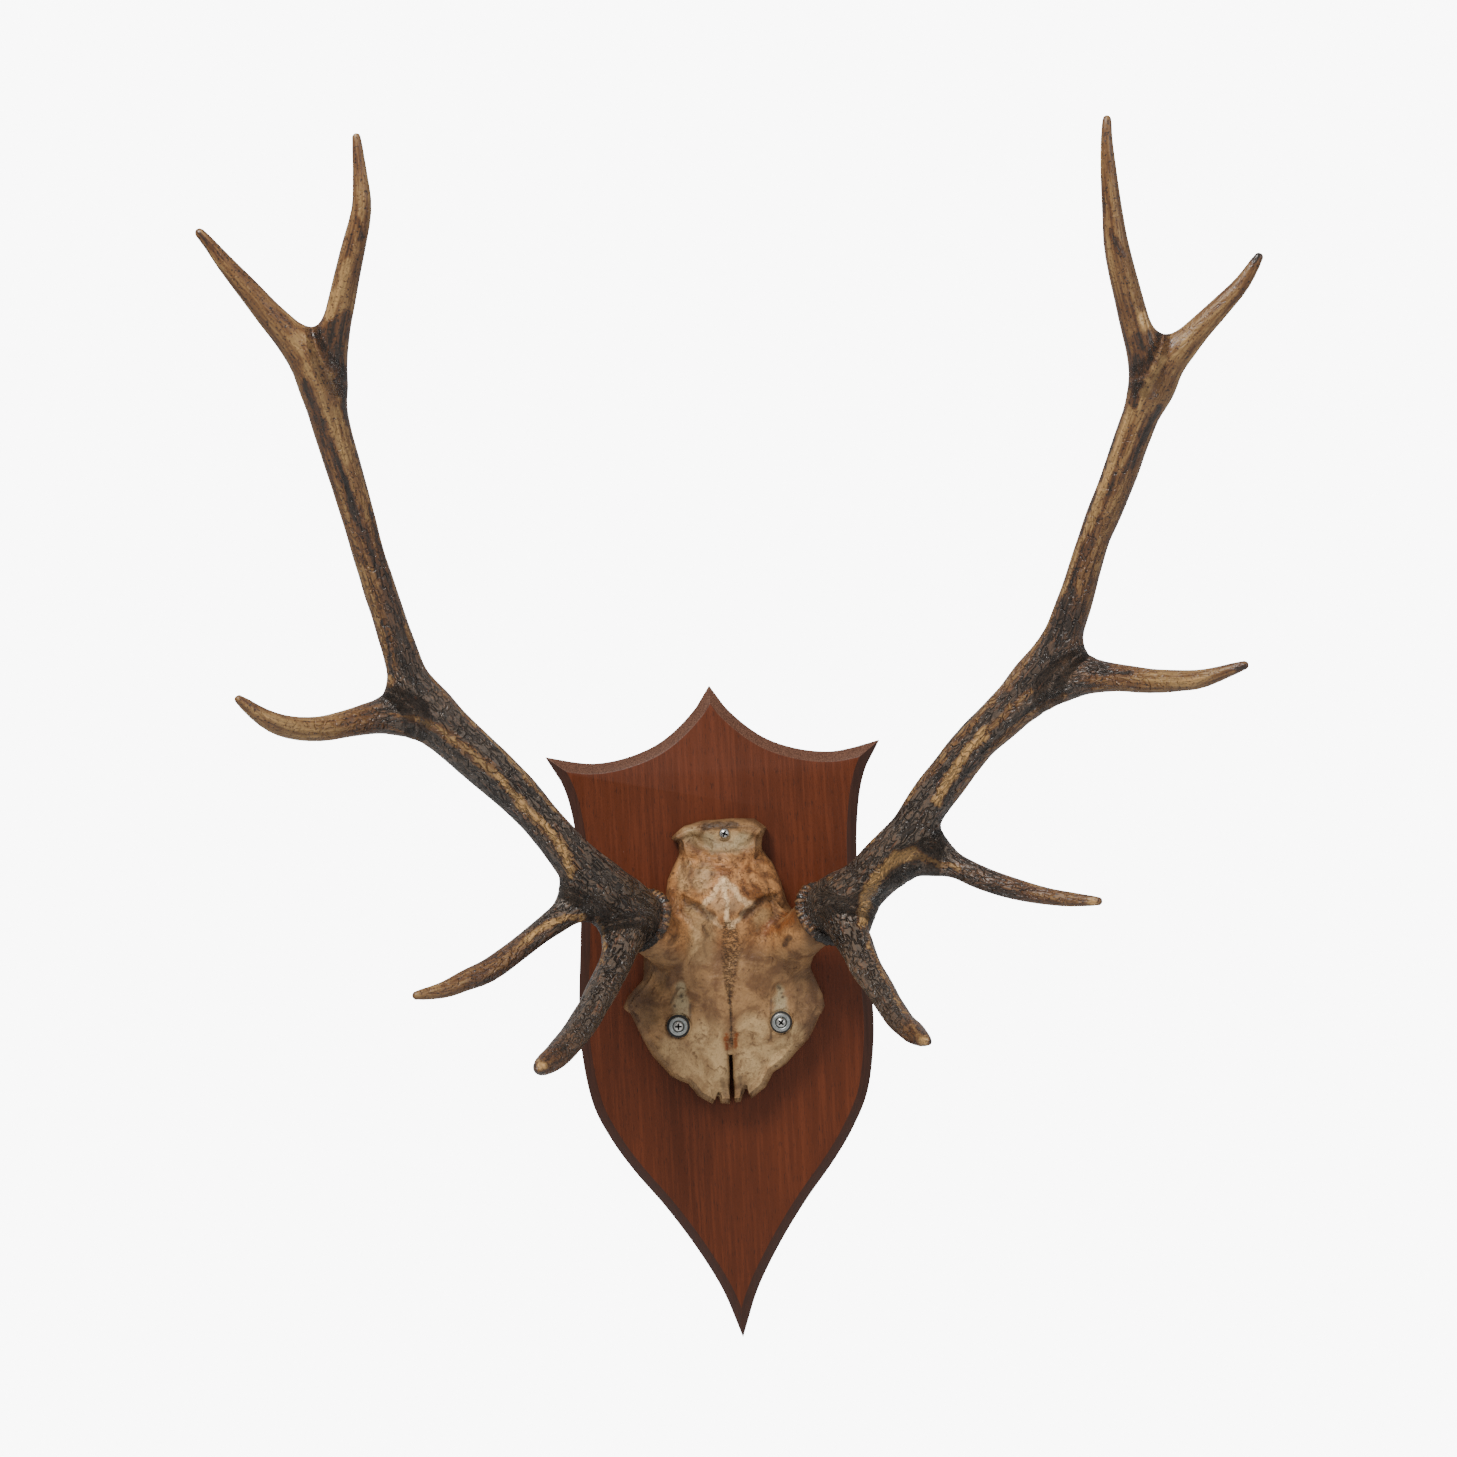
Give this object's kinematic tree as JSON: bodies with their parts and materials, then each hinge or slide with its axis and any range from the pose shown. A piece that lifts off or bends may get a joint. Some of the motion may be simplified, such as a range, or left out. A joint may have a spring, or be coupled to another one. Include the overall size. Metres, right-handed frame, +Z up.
{
  "type": "antler mounting plaque",
  "caption": "Branching deer antlers on a sawn skull plate, screwed to a chamfered wooden shield that hangs flat on a wall.",
  "frame": {"origin": "on the shield's flat back, on its line of symmetry, half way between its upper and lower points", "axes": "+Z up along the shield's line of symmetry, +Y from the shield's back into the wall, so the antlers reach out along -Y"},
  "size_m": [0.732, 0.3512, 0.8957],
  "materials": {
    "stained_wood": "satin, reddish brown stain with fine upright grain",
    "antler_and_bone": "semi-gloss antler, dark in the grooves and tan on the ridges, with paler matt skull bone",
    "bright_steel": "bright, slightly worn",
    "pale_cup_metal": "pale satin metal",
    "black_rubber": "matt black"
  },
  "bodies": {
    "root": {"shield_plaque": "stained_wood", "skull_and_antlers": "antler_and_bone", "top_screw": "bright_steel", "left_screw": "bright_steel", "right_screw": "bright_steel", "left_cup_washer": "pale_cup_metal", "right_cup_washer": "pale_cup_metal", "left_rubber_ring": "black_rubber", "right_rubber_ring": "black_rubber"}
  },
  "joints": []
}
